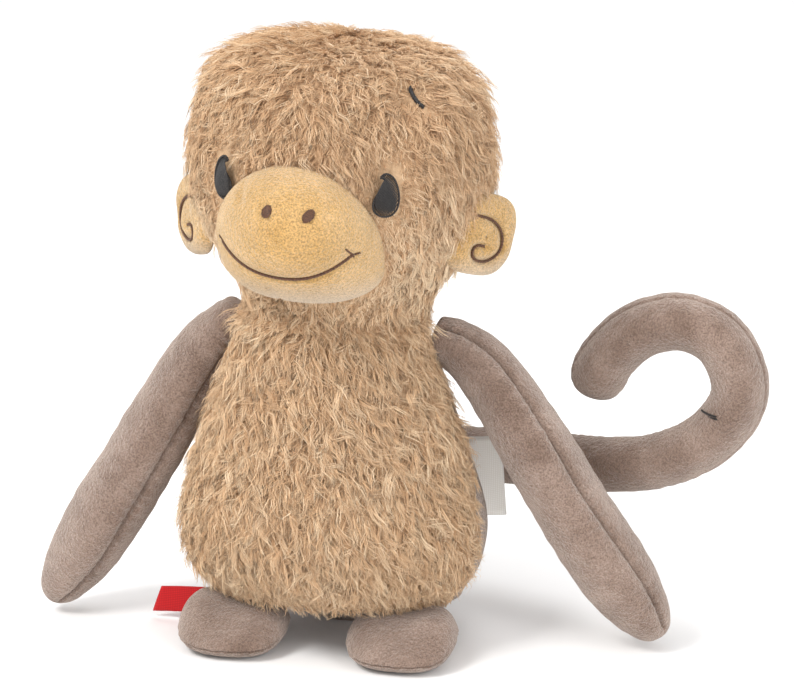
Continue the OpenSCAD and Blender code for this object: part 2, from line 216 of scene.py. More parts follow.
def two_layers(name, p, q, place):
    """A sheet from two open grids of the same size, p outside and q inside, and a rim between them."""
    n, m = p.shape[:2]
    cells = grid_cells(n, m, False)
    edge = np.concatenate([np.arange(m), np.arange(1, n) * m + m - 1,
                           (n - 1) * m + np.arange(m - 2, -1, -1), np.arange(n - 2, 0, -1) * m])
    nxt = np.roll(edge, -1)
    rim = np.stack([nxt, edge, edge + n * m, nxt + n * m], -1)
    verts = np.concatenate([p.reshape(-1, 3), q.reshape(-1, 3)])
    return mesh(name, verts, [cells, cells[:, ::-1] + n * m, rim], place)


def tube(path, r, sides=6):
    """Points and faces of a round tube along a path, with closed ends; r is one radius or one per point."""
    n = len(path)
    t = unit(np.gradient(path, axis=0))
    u = np.cross(t, [0, 0, 1.0] if abs(t[0][2]) < 0.9 else [1.0, 0, 0])
    for i in range(1, n):
        u[i] = u[i - 1] - t[i] * (u[i - 1] @ t[i])
    u = unit(u)
    v = np.cross(t, u)
    a = circle(sides)[:, None]
    r = np.broadcast_to(np.asarray(r, float), (n,))[:, None, None]
    rings = path[:, None] + r * (np.cos(a) * u[:, None] + np.sin(a) * v[:, None])
    verts = np.concatenate([rings.reshape(-1, 3), path[[0, -1]]])
    return verts, grid_cells(n, sides), np.concatenate(end_fans(n, sides))


def join(name, parts, place):
    """One mesh object from many (points, quads, triangles) parts."""
    verts, quads, tris, base = [], [], [], 0
    for v, q, t in parts:
        verts.append(v)
        quads.append(q + base)
        tris.append(t + base)
        base += len(v)
    return mesh(name, np.concatenate(verts), [np.concatenate(quads), np.concatenate(tris)], place)


def length_along(path):
    """How far along a path each of its points is."""
    return np.concatenate([[0], np.cumsum(np.linalg.norm(np.diff(path, axis=0), axis=1))])


def twisted(path, r, turn, step=0.35):
    """A two-ply thread along a path: strands of radius r that wind round each other every turn mm."""
    length = length_along(path)
    count = max(int(length[-1] / step), 4)
    at = np.linspace(0, length[-1], count)
    mid = np.stack([np.interp(at, length, path[:, k]) for k in range(3)], -1)
    t = unit(np.gradient(mid, axis=0))
    u = unit(np.cross(t, [0.01, -1.0, 0.02]))
    v = np.cross(t, u)
    out = []
    for half in (0, math.pi):
        a = at * 2 * math.pi / turn + half
        out.append(tube(mid + 0.75 * r * (np.cos(a)[:, None] * u + np.sin(a)[:, None] * v), r))
    return out


# %% [markdown]
# ## Stuffing by simulation
# A sewn piece is a skin with air pressing from inside. Its seams don't stretch, so they are
# pinned, and the cloth between them swells. How far a point may move is capped, and the result
# is kept in the mesh, so no simulation is left on the piece.

# %% The stuffing tool
def stuffed(p, pins, pressure, cap, frames=12):
    """The grid p once its cloth has swollen, by cap mm at most; pins, 0 to 1, hold its seams."""
    obj = skin("stuffing", p, on_trunk)
    n, m = p.shape[:2]
    group = obj.vertex_groups.new(name="pins")
    firm = np.concatenate([pins.ravel(), [1, 1]])
    for level in np.unique(np.round(firm, 1)):
        group.add([int(i) for i in np.nonzero(np.round(firm, 1) == level)[0]], float(level), "REPLACE")
    cloth = obj.modifiers.new("Cloth", "CLOTH")
    s = cloth.settings
    s.quality, s.mass, s.air_damping = 6, 0.2, 4
    s.tension_stiffness = s.compression_stiffness = s.shear_stiffness = 12
    s.bending_stiffness = 0.3
    s.use_pressure, s.uniform_pressure_force = True, pressure
    s.vertex_group_mass, s.pin_stiffness = "pins", 2
    s.effector_weights.gravity = 0
    cloth.collision_settings.use_collision = False
    scene = bpy.context.scene
    for f in range(1, frames + 1):
        scene.frame_set(f)
    done = obj.evaluated_get(bpy.context.evaluated_depsgraph_get()).to_mesh()
    after = np.empty(len(done.vertices) * 3, np.float32)
    done.vertices.foreach_get("co", after)
    scene.frame_set(1)
    bpy.data.objects.remove(obj)
    move = after.reshape(-1, 3)[: n * m].reshape(n, m, 3) * 1000.0 - on_trunk(p) * 1000.0
    size = np.linalg.norm(move, axis=-1, keepdims=True)
    move = move * np.minimum(1, cap / np.maximum(size, 1e-6))
    for _ in range(2):
        move = 0.5 * move + 0.25 * (np.roll(move, 1, 1) + np.roll(move, -1, 1))
    return p + move


# %% [markdown]
# ## Materials
# Plush is soft because light catches the ends of its fibres: each cloth gets sheen, a nap that
# is brushed lighter and darker in patches, and a fine bump. The pile's strands take their colour
# from a shade of their own and from how far along the strand a point is: darker towards the
# root, which is painted shade deep in the pile.

# %% Material tools
def linear(r, g, b):
    return [((c / 255 + 0.055) / 1.055) ** 2.4 if c > 10 else c / 255 / 12.92 for c in (r, g, b)] + [1]


class Look:
    """A material, the record's slot it stands for, and a few short ways to add nodes."""

    def __init__(self, name, rough, sheen=0.0, sheen_rough=0.4, tint=(255, 255, 255), spec=0.3, slot=None):
        self.slot = slot or name.replace(" ", "_")
        self.mat = bpy.data.materials.new(name)
        self.mat.use_nodes = True
        self.tree = self.mat.node_tree
        self.shader = self.tree.nodes["Principled BSDF"]
        self.set("Roughness", rough)
        self.set("Specular IOR Level", spec)
        self.set("Sheen Weight", sheen)
        self.set("Sheen Roughness", sheen_rough)
        self.set("Sheen Tint", linear(*tint))

    def set(self, socket, value):
        self.shader.inputs[socket].default_value = value

    def node(self, kind, **values):
        n = self.tree.nodes.new(kind)
        for k, v in values.items():
            if hasattr(n, k):
                setattr(n, k, v)
            else:
                n.inputs[k].default_value = v
        return n

    def link(self, a, b):
        self.tree.links.new(a, b)

    def place(self):
        return self.node("ShaderNodeTexCoord").outputs["Object"]

    def noise(self, scale, detail=3.0, rough=0.6):
        n = self.node("ShaderNodeTexNoise", Scale=scale, Detail=detail, Roughness=rough)
        self.link(self.place(), n.inputs["Vector"])
        return n.outputs["Fac"]

    def ramp(self, value, *stops):
        """A colour ramp over a value; each stop is a place and its colour from 0 to 255."""
        r = self.node("ShaderNodeValToRGB")
        while len(r.color_ramp.elements) < len(stops):
            r.color_ramp.elements.new(0.5)
        for e, (at, *colour) in zip(r.color_ramp.elements, stops):
            e.position, e.color = at, linear(*colour)
        self.link(value, r.inputs["Fac"])
        return r.outputs["Color"]

    def mix(self, kind, factor, a, b):
        n = self.node("ShaderNodeMix", data_type="RGBA", blend_type=kind, Factor=factor)
        self.link(a, n.inputs[6])
        self.link(b, n.inputs[7])
        return n.outputs[2]

    def colour(self, output):
        self.link(output, self.shader.inputs["Base Color"])

    def bump(self, height, strength, distance):
        b = self.node("ShaderNodeBump", Strength=strength, Distance=distance)
        self.link(height, b.inputs["Height"])
        self.link(b.outputs["Normal"], self.shader.inputs["Normal"])


# How many features of the noise there are in a metre: brushed patches, single fibres, tufts
PATCHES, FIBRES, TUFTS = 70, 1500, 640


def velour(name, light, mid, dark, sheen, tint, painted_light_below=None):
    """Short-pile cloth: brushed patches, and fibre ends under a millimetre apart.

    The last argument gives two heights in metres: below the first the cloth is painted paler, as light and sheen from
    the floor's bounce and partly as the lie of its nap; above the second it is as usual.
    """
    look = Look(name, 0.95, sheen, 0.35, tint, 0.12)
    brushed = look.ramp(look.noise(PATCHES, 2, 0.5), (0.34, *dark), (0.5, *mid), (0.66, *light))
    if painted_light_below:
        # Painted light: below the first height the colour is screened paler, for the floor's bounce light and sheen,
        # partly the lie of the nap
        height = look.node("ShaderNodeSeparateXYZ")
        look.link(look.place(), height.inputs["Vector"])
        span = look.node("ShaderNodeMapRange", **{"From Min": painted_light_below[0], "From Max": painted_light_below[1]})
        look.link(height.outputs["Z"], span.inputs["Value"])
        low = look.ramp(span.outputs["Result"], (0.0, 255, 255, 255), (1.0, 1, 1, 1))
        brushed = look.mix("SCREEN", 0.5, brushed, low)
    fibres = look.ramp(look.noise(FIBRES, 3, 0.7), (0.36, 184, 178, 174), (0.62, 255, 255, 255))
    look.colour(look.mix("MULTIPLY", 1.0, brushed, fibres))
    look.bump(look.noise(TUFTS, 4, 0.75), 1.0, 0.0022)
    return look


# %% The materials
TAUPE = velour("taupe velour", (182, 158, 144), (168, 144, 130), (152, 128, 114), 1.0, (246, 234, 226))
# The ochre is painted paler low down, from 160 mm to 146 mm: bounce light and sheen from the floor, partly the lie of
# its nap
OCHRE = velour("ochre velour", (244, 200, 136), (236, 190, 122), (224, 178, 108), 0.9, (255, 242, 222),
               (0.146, 0.160))

PILE = Look("long pile", 0.62, 0.25, 0.5, (255, 240, 220), 0.35)
of_strand = PILE.node("ShaderNodeUVMap", uv_map="OFBake")
both = PILE.node("ShaderNodeSeparateXYZ")
PILE.link(of_strand.outputs["UV"], both.inputs["Vector"])
shade = PILE.ramp(both.outputs["X"], (0.0, 202, 164, 126), (0.5, 232, 197, 157), (1.0, 255, 234, 202))
# Darker towards each strand's root: painted shade deep in the pile
along = PILE.ramp(both.outputs["Y"], (0.0, 222, 206, 192), (0.45, 246, 242, 238), (1.0, 255, 255, 255))
PILE.colour(PILE.mix("MULTIPLY", 1.0, shade, along))


def mottled(look, scale, detail, *stops):
    """Gives a look two tones in fine soft spots."""
    look.colour(look.ramp(look.noise(scale, detail), *stops))
    return look


BACKING = mottled(Look("pile backing", 1.0, 0.2, 0.5, (230, 205, 175), 0.1, "long_pile"), 420, 3,
                  (0.3, 176, 144, 112), (0.7, 206, 174, 140))
BACKING.bump(BACKING.noise(900, 3), 0.8, 0.0008)


def thread_look(name, colour, deep, sheen=0.25):
    look = Look(name, 0.5, sheen, 0.4, (200, 190, 180), 0.5)
    look.colour(look.ramp(look.noise(1800, 3, 0.8), (0.42, *deep), (0.62, *colour)))
    return look


BROWN = thread_look("brown thread", (112, 72, 46), (62, 36, 22))
DARK = thread_look("dark thread", (52, 48, 48), (14, 13, 14), 0.1)


def ribbon_look(name, colour, deep):
    """Woven ribbon: two sets of fine ribs across each other."""
    look = Look(name, 0.75, 0.2)
    ribs = []
    for way in ("X", "Z"):
        w = look.node("ShaderNodeTexWave", bands_direction=way, Scale=420)
        look.link(look.place(), w.inputs["Vector"])
        ribs.append(w.outputs["Color"])
    weave = look.mix("MULTIPLY", 1.0, *ribs)
    look.colour(look.ramp(weave, (0.0, *deep), (0.6, *colour)))
    look.bump(weave, 0.35, 0.0002)
    return look


WHITE = ribbon_look("white ribbon", (248, 247, 243), (234, 231, 225))
RED = ribbon_look("red ribbon", (208, 30, 34), (172, 18, 24))

WOOL = mottled(Look("filling", 1.0, 0.3, 0.5, spec=0.1), 260, 4, (0.3, 216, 212, 202), (0.7, 240, 238, 232))
WOOL.bump(WOOL.noise(500, 4), 0.9, 0.001)
BEADS = mottled(Look("bead pouch", 0.5, spec=0.4), 600, 1, (0.4, 196, 194, 188), (0.6, 222, 220, 214))

shown = []


def cover(obj, look):
    obj.data.materials.clear()
    obj.data.materials.append(look.mat)


def finish(obj, look, body, stands_for=()):
    """Gives a piece its look, its body and what it stands for."""
    cover(obj, look)
    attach(obj, body)
    if stands_for:
        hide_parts(*stands_for)
    shown.append(obj.name)
    return obj


# %% [markdown]
# ## The trunk
# A stuffed bag of two panels: long pile in front, and taupe velour behind. Their side seams lean
# forward near the floor, so a sliver of the back panel shows at the flank. Each row gives the
# height, the half width and the depths in front and behind, as shares of the trunk's own sizes.
# Both panels are cut from that one table, so their edges meet all along the seam.

# %% Trunk rows
TRUNK_H, TRUNK_W, TRUNK_FRONT, TRUNK_BACK, HEM_Z = 133.0, 122.0, 50.0, 52.0, 18.0
CLOTH_T = 2.5
BACK_ARC = 170  # about how far it is round the back, from seam to seam
TRUNK = np.array([
    [0.00, 0.84, 0.78, 0.86], [0.11, 0.96, 0.93, 0.96], [0.26, 1.00, 1.00, 1.00], [0.49, 0.89, 0.93, 0.94],
    [0.70, 0.76, 0.82, 0.82], [0.88, 0.64, 0.70, 0.70], [0.965, 0.59, 0.64, 0.63], [1.00, 0.50, 0.54, 0.53]])


def trunk_at(a, s, out=-1.0):
    """Points of the trunk at angles a (0 to the right, -90 to the front) and shares s of its height."""
    t = table_at(TRUNK, s)
    w, front, back = t[..., 0] * TRUNK_W / 2, t[..., 1] * TRUNK_FRONT, t[..., 2] * TRUNK_BACK
    depth = np.where(np.sin(a) < 0, front, back)
    z = HEM_Z + s * (TRUNK_H - HEM_Z)
    z = z - 4 * np.sin(a) * np.maximum(0, 1 - (z - HEM_Z) / 30)
    p = np.stack([(w + out) * np.cos(a), (depth + out) * np.sin(a), z], -1)
    return p + 0.8 * waves(p, 38, 3)[..., None] * unit(p * [1, 1, 0])


def seam_angle(s):
    """Where the side seams run: this far in front of the widest line, in radians."""
    return np.radians(3 + 12 * smooth(-s, -0.5, -0.2))


def trunk_panel(front, rows=60, cols=72):
    s = np.linspace(0, 0.985, rows)[:, None]
    k = np.linspace(0, 1, cols)[None]
    lean = seam_angle(s)
    if front:
        a = (math.pi + lean) + (math.pi - 2 * lean) * k
    else:
        a = -lean + (math.pi + 2 * lean) * k
    return trunk_at(a, s + 0 * a)


def trunk_cloth(name, p, look, panel):
    """A panel of thick cloth, from its outer grid."""
    q = p - CLOTH_T * grid_normals(p, False)
    return finish(two_layers(name, p, q, on_trunk), look, "trunk", [panel])


front_grid = trunk_panel(True)
back_grid = trunk_panel(False)
k = np.linspace(0, 1, back_grid.shape[1])[None]
seam_dip = np.exp(-(k * BACK_ARC / 3.0) ** 2) + np.exp(-((1 - k) * BACK_ARC / 3.0) ** 2)
back_grid = back_grid - 0.9 * seam_dip[..., None] * grid_normals(back_grid, False)
trunk_front = trunk_cloth("trunk_front_cloth", front_grid, BACKING, "body_front_panel")
trunk_back = trunk_cloth("trunk_back_cloth", back_grid, TAUPE, "body_back_panel")
print("trunk cloth:", len(trunk_front.data.vertices) + len(trunk_back.data.vertices), "points")

# %% [markdown]
# ## The base
# A soft disc that rises from the flat seat to the hem. The toy rests on it, so it is flat there. A
# simulation would need a floor to settle on; rings between the seat and the hem give the same
# shape at once, and can't sink through the floor.

# %% Base
SEAT_R = 17.0  # the flat it rests on


def base_grid(rows=16, cols=72):
    a = circle(cols)
    hem = trunk_at(a, np.zeros(cols))
    seat = SEAT_R * np.stack([np.cos(a), np.sin(a), 0 * a], -1) + [0, SEAT_BACK, 0]
    k = np.linspace(0, 1, rows)[:, None]
    flat = seat[None] * (1 - k[..., None]) + hem[None] * k[..., None]
    flat[..., 2] = hem[None, :, 2] * k**0.45
    flat[0, :, 2] = 0
    inner = flat[-1] * [0.93, 0.93, 1] + [0, 0, 0.5]
    return np.concatenate([flat, [inner]])


base = finish(skin("base_cloth", base_grid(), on_trunk), TAUPE, "trunk", ["base_panel"])
print("base cloth:", len(base.data.vertices), "points")

# %% [markdown]
# ## The head
# A wide wedge with a rounded, flattened crown. A small dart is sewn in the brow, and its stitch
# pulls a dimple into the cloth. The eyes sit in shallow hollows. It could be sculpted, but a table
# of half widths and depths keeps it on the CAD model's sizes, and the long pile hides the cloth.

# %% Head
HEAD_Z, HEAD_H, HEAD_W, HEAD_FRONT, HEAD_BACK = 131.0, 108.0, 117.0, 52.0, 49.0
HEAD_IN = 1.4  # how far the cloth lies inside those sizes, so that the pile has room
HEAD = np.array([
    [0.00, 0.632, 0.654, 0.694], [0.12, 0.68, 0.72, 0.75], [0.22, 0.79, 0.85, 0.87], [0.38, 0.93, 0.97, 0.97],
    [0.57, 1.00, 1.00, 1.00], [0.75, 0.95, 0.93, 0.95], [0.88, 0.86, 0.80, 0.82], [0.955, 0.68, 0.60, 0.64],
    [0.99, 0.40, 0.36, 0.38], [1.00, 0.06, 0.06, 0.06]])
DART = np.array([37.0, -36.0, 223.5])
EYES = {"left": np.array([-31.5, 190.5]), "right": np.array([32.2, 190.0])}


def head_at(a, s):
    t = table_at(HEAD, s)
    w, front, back = t[..., 0] * HEAD_W / 2, t[..., 1] * HEAD_FRONT, t[..., 2] * HEAD_BACK
    depth = np.where(np.sin(a) < 0, front, back)
    return np.stack([w * np.cos(a), depth * np.sin(a), HEAD_Z + s * HEAD_H + 0 * a], -1)


def face_y(x, z):
    """How far forward the head's cloth is at x and z."""
    t = table_at(HEAD, np.clip((z - HEAD_Z) / HEAD_H, 0, 1))
    w, d = t[..., 0] * HEAD_W / 2 - HEAD_IN, t[..., 1] * HEAD_FRONT - HEAD_IN
    return -d * np.sqrt(np.maximum(0, 1 - (x / w) ** 2))


def laid(surface, x, z, out):
    """Points that lie out mm in front of a surface y(x, z)."""
    return np.stack([x, surface(x, z) - out, z], -1)


def head_grid(rows=90, cols=128):
    s = np.linspace(0, 1, rows) ** 0.9
    s = np.concatenate([s[:-1], [0.997, 1.0]])[:, None]
    a = circle(cols)[None]
    p = head_at(a + 0 * s, s + 0 * a)
    n = grid_normals(p)
    sink = 2.2 * np.exp(-(np.linalg.norm(p - DART, axis=-1) / 9) ** 2)
    for x, z in EYES.values():
        near = np.linalg.norm((p - [x, face_y(x, z), z]) / [1, 1, 1.4], axis=-1)
        sink = sink + 1.2 * np.exp(-(near / 8) ** 2)
    lump = 0.9 * waves(p, 45, 11)
    low = 1.5 * smooth(-s, -0.2, -0.05)
    return p + (lump - sink - HEAD_IN - low)[..., None] * n


head_skin = head_grid()
DART = DART * [1, 0, 1] + [0, face_y(DART[0], DART[2]) + 1.6, 0]
head_cloth = finish(skin("head_cloth", head_skin, on_head), BACKING, "head",
                    ["head_front_panel", "head_back_panel"])

# The neck under it is a dome that the head turns and nods on
NECK_R = 39
a = circle(64)
rise = np.radians(np.linspace(28, 78, 12))[:, None]
wide = NECK_R * np.cos(rise)
neck_grid = np.stack([wide * np.cos(a), wide * np.sin(a), NECK_Z + NECK_R * np.sin(rise) + 0 * a], -1)
finish(skin("neck_cloth", neck_grid, on_trunk), BACKING, "neck", ["neck_filling"])
print("head cloth:", len(head_cloth.data.vertices), "points")

# %% [markdown]
# ## The muzzle
# A dome of ochre velour, stuffed so that it stands out of the face. Small darts take up its
# fullness near the top and the bottom, and the smile is sewn in a shallow furrow. Here the dome is
# a height over the face, because threads can then be laid on that same surface exactly.

# %% Muzzle
MUZZLE_W, MUZZLE_H, MUZZLE_DEPTH = 64.0, 54.0, 25.0
MUZZLE_X, MUZZLE_Z, MUZZLE_TAPER = -1.8, 172.5, 0.11
NOSTRILS = {"left": (-4.4, 187.0), "right": (10.8, 186.2)}


def muzzle_round(a):
    """The outline's share of a plain oval at an angle: fuller below than above."""
    e = 2.05 + 0.75 * smooth(-np.sin(a), -0.1, 0.7)
    return 1 / (np.abs(np.cos(a)) ** e + np.abs(np.sin(a)) ** e) ** (1 / e)


def muzzle_share(x, z):
    """0 in the middle of the muzzle and 1 on its outline."""
    v = (z - MUZZLE_Z) / (MUZZLE_H / 2)
    u = (x - MUZZLE_X) / (MUZZLE_W / 2) / (1 - MUZZLE_TAPER * v)
    return np.hypot(u, v) / muzzle_round(np.arctan2(v, u))


def muzzle_base(x, z):
    q = muzzle_share(x, z)
    return face_y(x, z) - 1.2 - MUZZLE_DEPTH * np.sqrt(np.maximum(0, 1 - q * q)) ** 0.85


def smile(u):
    """The line of the smile, u from -1 to 1."""
    x = np.where(u < 0, 26.0, 24.6) * u
    z = 161.2 + 9.5 * np.abs(u - 0.06 * (1 - u * u)) ** 2.3
    return x, z


SMILE = np.stack(smile(np.linspace(-1, 1, 80)), -1)
DARTS = [((-17.0, 188.5), (-19.5, 197.0), 1.9), ((17.0, 187), (19, 193), 1.3), ((-6, 155), (-7, 145.5), 2.0)]


def to_line(x, z, line):
    """The distance from points to a line of points."""
    d = np.full(x.shape, 1e9)
    for a, b in zip(line[:-1], line[1:]):
        ab = b - a
        t = np.clip(((x - a[0]) * ab[0] + (z - a[1]) * ab[1]) / max(ab @ ab, 1e-9), 0, 1)
        d = np.minimum(d, np.hypot(x - a[0] - t * ab[0], z - a[1] - t * ab[1]))
    return d


def muzzle_y(x, z):
    y = muzzle_base(x, z)
    line = to_line(x, z, SMILE)
    y = y + 1.2 * np.exp(-(line / 1.2) ** 2) + 0.8 * np.exp(-(line / 3.2) ** 2)
    for a, b, deep in DARTS:
        y = y + deep * np.exp(-(to_line(x, z, np.array([a, b])) / 1.6) ** 2)
    for x0, z0 in NOSTRILS.values():
        y = y + 0.9 * np.exp(-((x - x0) ** 2 + (z - z0) ** 2) / 3.2**2)
    return y


k = np.sin(np.linspace(0.004, math.pi / 2, 64))[::-1][:, None]
a = circle(160)[None]
mv = k * muzzle_round(a) * np.sin(a)
mx = k * MUZZLE_W / 2 * muzzle_round(a) * np.cos(a) * (1 - MUZZLE_TAPER * mv) + MUZZLE_X
mz = MUZZLE_Z + MUZZLE_H / 2 * mv
# A last ring is tucked in under the head's cloth
x, z = mx[:1] * 0.93, mz[:1]
tuck = np.stack([x, face_y(x, z) + 3.0, MUZZLE_Z + (z - MUZZLE_Z) * 0.93], -1)
muzzle_grid = np.concatenate([tuck, laid(muzzle_y, mx, mz, 0)])
finish(skin("muzzle_cloth", muzzle_grid, on_head), OCHRE, "head", ["muzzle_cover"])
stuffing = np.stack([mx[4:] * 0.95, muzzle_grid[5:, :, 1] + 4.5, MUZZLE_Z + (mz[4:] - MUZZLE_Z) * 0.95], -1)
finish(skin("muzzle_stuffing", stuffing, on_head), WOOL, "head", ["muzzle_filling"])
print("muzzle stands out", round(float(face_y(0.0, MUZZLE_Z) - muzzle_grid[..., 1].min()), 1), "mm")

# %% [markdown]
# ## Embroidery
# Satin stitch is many threads side by side. Each eye and nostril is an outline filled with
# threads, and the smile, the whorls of the ears and the dart are lines of twisted thread. A bump
# in the cloth's material would look flat from the side, so every thread is a thin tube.

# %% Embroidery tools
def satin(outline, centre, surface, slant, pitch, r, lift, seed):
    """Threads side by side across an outline [x, z] that lies on a surface y(x, z)."""
    rng = np.random.default_rng(seed)
    c, s = math.cos(slant), math.sin(slant)
    ox, oz = outline.T
    uv = np.stack([ox * c + oz * s, -ox * s + oz * c], -1)
    parts = []
    for v in np.arange(uv[:, 1].min() + pitch / 2, uv[:, 1].max(), pitch):
        cross = []
        for p, q in zip(uv, np.roll(uv, -1, 0)):
            if (p[1] - v) * (q[1] - v) < 0:
                cross.append(p[0] + (v - p[1]) / (q[1] - p[1]) * (q[0] - p[0]))
        if len(cross) < 2:
            continue
        u0, u1 = min(cross) - rng.uniform(0, 0.25), max(cross) + rng.uniform(0, 0.25)
        u = np.linspace(u0, u1, 9)
        x, z = centre[0] + u * c - v * s, centre[1] + u * s + v * c
        bow = np.sin(np.linspace(0, math.pi, 9))
        y = surface(x, z) - lift * bow - 0.15 + 0.3 * (bow < 0.3)
        parts.append(tube(np.stack([x, y, z], -1), r * (0.75 + 0.25 * bow), 5))
    return parts


def drop_outline(side):
    """An eye: round below, drawn up to a point that hooks towards the nose."""
    drop = [[-2.3, 7.4], [-0.9, 8.5], [0.9, 8.2], [2.9, 6.4], [4.3, 2.9], [4.8, -1.0], [4.0, -4.9], [1.6, -7.4],
            [-1.9, -7.5], [-4.4, -5.4], [-4.7, -2.4], [-3.2, 0.9], [-0.9, 3.4], [-0.2, 5.6], [-1.0, 6.9],
            [-2.3, 7.4]]
    return spline(drop, np.linspace(0, 0.995, 60)) * [0.88 * side, 1]


# %% Eyes, nostrils, smile and dart
for side, name in ((-1, "left"), (1, "right")):
    shape = drop_outline(side)
    patch = satin(shape * 0.94, EYES[name], lambda x, z: face_y(x, z) - 2.6, 1.2 * side, 0.46, 0.30, 1.0,
                  21 + side)
    finish(join(f"eye_{name}_satin", patch, on_head), DARK, "head", [f"eye_{name}"])
    ring = np.concatenate([shape, shape[:1]])
    x, z = EYES[name][0] + ring[:, 0], EYES[name][1] + ring[:, 1]
    edge = twisted(laid(face_y, x, z, 2.8), 0.26, 1.6, 0.3)
    finish(join(f"eye_{name}_edge", edge, on_head), DARK, "head")

for name, seed in (("left", 31), ("right", 32)):
    a = np.linspace(0, 2 * math.pi, 24, endpoint=False)
    oval = np.stack([1.9 * np.cos(a) + 0.3 * np.sin(a), 2.2 * np.sin(a)], -1)
    patch = satin(oval, NOSTRILS[name], muzzle_y, 0.9, 0.40, 0.28, 0.7, seed)
    finish(join(f"nostril_{name}_satin", patch, on_head), BROWN, "head", [f"nostril_{name}"])

# The smile, and the short ticks across its two ends: which end, and where each tick starts and stops
TICKS = [(-1, (-1.6, 2.8), (0.3, -1.2)), (-1, (-0.6, -0.5), (2.0, 0.2)), (0, (-1.3, 1.8), (0.9, -1.0))]
parts = twisted(laid(muzzle_y, *SMILE.T, 0.35), 0.42, 2.6)
for end, start, stop in TICKS:
    x, z = np.linspace(SMILE[end] + start, SMILE[end] + stop, 8).T
    parts += twisted(laid(muzzle_y, x, z, 0.3), 0.26, 2.0)
finish(join("smile_thread", parts, on_head), BROWN, "head", ["mouth_stitching"])

u = np.linspace(-1, 1, 12)
x, z = DART[0] + 2.8 * u, DART[2] - 3.4 * u + 0.8 * u * u
parts = twisted(laid(face_y, x, z, -1.2), 0.55, 2.4)
finish(join("brow_dart_thread", parts, on_head), DARK, "head", ["brow_dart_stitch"])
sewn = [bpy.data.objects[n] for n in shown if "satin" in n or "thread" in n]
print("embroidery:", sum(len(o.data.polygons) for o in sewn), "faces")

# %% [markdown]
# ## The ears
# Rounded squares, sewn to the sides of the head. The front is ochre velour with a whorl of brown
# thread that pulls a furrow, and the back is taupe. They are too thin for air pressure to shape
# well, so each half is a shallow bowl of rings, and the front one wraps round the rim.

# %% Ears
EAR_SIZE, EAR_T = 32.0, 7.0
EAR_ROOT = {"left": (48.6, -13, 167.5), "right": (46.6, -13, 172.0)}
TURN, TIP = math.radians(47), math.radians(14)


def ear_place(side, root):
    def place(p):
        p = np.asarray(p, float) + [EAR_SIZE / 2 + 0.3, 0, 0]
        return on_head((turned(tilted(p, TIP), TURN) + root) * [side, 1, 1])
    return place


def facing_out(p, side):
    """A grid that is mirrored for the left runs the other way round, so that its faces still look out."""
    return p[:, ::-1] if side < 0 else p


wx, wz = spline([[-5.0, 8.6], [-1.8, 8.0], [2.9, 6.0], [6.6, 2.0], [7.8, -2.8], [6.2, -7.2], [1.8, -9.8], [-2.6, -9.5],
                 [-5.2, -7.2], [-5.0, -4.4], [-2.8, -3.2], [-0.2, -4.0]], np.linspace(0, 1, 70)).T
WHORL = np.stack([wx * math.cos(TIP) - wz * math.sin(TIP), wx * math.sin(TIP) + wz * math.cos(TIP)], -1)


def ear_half(front, rows=26, cols=96):
    a = circle(cols)[None]
    q = 1 / (np.abs(np.cos(a)) ** 3 + np.abs(np.sin(a)) ** 3) ** (1 / 3)
    k = np.sin(np.linspace(0.02, math.pi / 2, rows))[::-1][:, None]
    x, z = k * EAR_SIZE / 2 * q * np.cos(a), k * EAR_SIZE / 2 * q * np.sin(a)
    x = x * 0.94
    y = EAR_T / 2 * np.sqrt(np.maximum(0, 1 - k**2.6)) + 0 * a
    y = y + 0.5 * waves(np.stack([x, 0 * x, z], -1), 13, 91) * np.minimum(1, y)
    if front:
        y = -(y - 1.5 * np.exp(-(to_line(x, z, WHORL) / 1.3) ** 2) * np.minimum(1, y / 1.5)) + 1.6 * k**8
    else:
        x, y, z = 0.975 * x[::-1], 1.6 + 0.54 * y[::-1], 0.975 * z[::-1]
    return np.stack([x, y, z], -1)


def ear_front_y(x, z):
    q = (np.abs(x) ** 3 + np.abs(z) ** 3) ** (1 / 3) / (EAR_SIZE / 2)
    return -EAR_T / 2 * np.sqrt(np.maximum(0, 1 - q**2.6))


def half_shell(name, p, place, inward):
    """A bowl of rings that is closed by a second layer a little inside it."""
    q = p + [0, inward, 0]
    n, m = p.shape[:2]
    verts = np.concatenate([p.reshape(-1, 3), q.reshape(-1, 3)])
    cells = grid_cells(n, m)
    e0, e1 = np.arange(m), (n - 1) * m + np.arange(m)
    faces = [cells, cells[:, ::-1] + n * m]
    for e, flip in ((e0, False), (e1, True)):
        nxt = np.roll(e, -1)
        rim = np.stack([nxt, e, e + n * m, nxt + n * m], -1)
        faces.append(rim[:, ::-1] if flip else rim)
    return mesh(name, verts, faces, place)


for side, name in ((-1, "left"), (1, "right")):
    ear = f"ear_{name}"
    place = ear_place(side, EAR_ROOT[name])
    halves = {half: facing_out(ear_half(half == "front"), side) for half in ("front", "back")}
    for half, look, inward in (("front", OCHRE, 0.6), ("back", TAUPE, -0.6)):
        finish(half_shell(f"{ear}_{half}_cloth", halves[half], place, inward), look, ear, [f"{ear}_{half}"])
    pad = np.concatenate([halves["back"], halves["front"][1:]])
    finish(skin(f"{ear}_pad", pad * [0.8, 0.3, 0.8], place), WOOL, ear, [f"{ear}_padding"])
    parts = twisted(laid(ear_front_y, *WHORL.T, -0.75), 0.34, 2.2)
    whorl = finish(join(f"{ear}_whorl", parts, place), BROWN, ear, [f"{ear}_stitching"])
    print(f"{ear}: {len(whorl.data.polygons)} faces of thread")

# %% [markdown]
# ## Arms and tail
# A stuffed tube is a row of rings along a route. The cloth swells between its seams, and each
# seam is a furrow with small puckers beside it, where the thread gathers the cloth. The swelling
# is simulated on the coarse rings, and the furrow is added after it on finer ones, because a
# stitch is smaller than the cloth's own cells.

